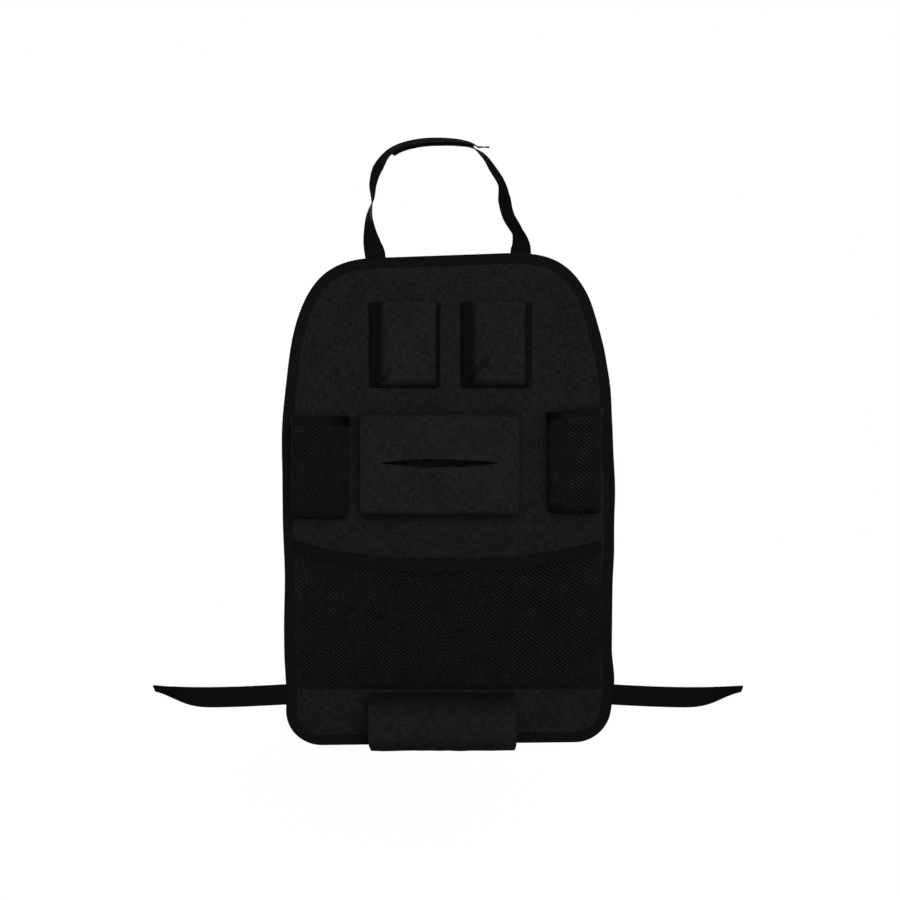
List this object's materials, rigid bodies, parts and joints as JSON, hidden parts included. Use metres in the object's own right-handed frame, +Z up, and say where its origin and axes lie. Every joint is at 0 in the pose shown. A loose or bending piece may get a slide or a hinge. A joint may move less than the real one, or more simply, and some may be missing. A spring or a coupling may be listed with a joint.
{
  "type": "car seat back organizer",
  "caption": "Hanging cloth organizer for the back of a car seat, with cloth and net pockets, a tissue band, a bottle sleeve, a headrest loop and side straps.",
  "frame": {"origin": "middle of the flat back of the panel, the face that lies against the seat", "axes": "+Z up as it hangs, the pockets face -Y, the flat back faces +Y, +X to the right seen from the front"},
  "size_m": [0.7202, 0.0956, 0.7412],
  "materials": {
    "face_cloth": "matt woven polyester",
    "foam": "thin foam sheet",
    "lining": "matt lining cloth",
    "binding_tape": "ribbed polyester tape",
    "webbing": "woven webbing",
    "hook_and_loop": "brushed hook-and-loop tape",
    "netting": "knitted netting"
  },
  "bodies": {
    "root": {"face_panel": "face_cloth", "foam_sheet": "foam", "back_lining": "lining", "edge_binding": "binding_tape", "left_handle_strap": "webbing", "right_handle_strap": "webbing", "handle_loop_tape": "hook_and_loop", "handle_hook_tape": "hook_and_loop", "left_side_strap": "webbing", "right_side_strap": "webbing", "side_hook_tape": "hook_and_loop", "side_loop_tape": "hook_and_loop", "left_phone_pocket": "face_cloth", "right_phone_pocket": "face_cloth", "tissue_band": "face_cloth", "left_bottle_net": "netting", "left_net_elastic": "binding_tape", "right_bottle_net": "netting", "right_net_elastic": "binding_tape", "large_net": "netting", "large_net_tape": "binding_tape", "bottle_sleeve": "face_cloth"}
  },
  "joints": []
}
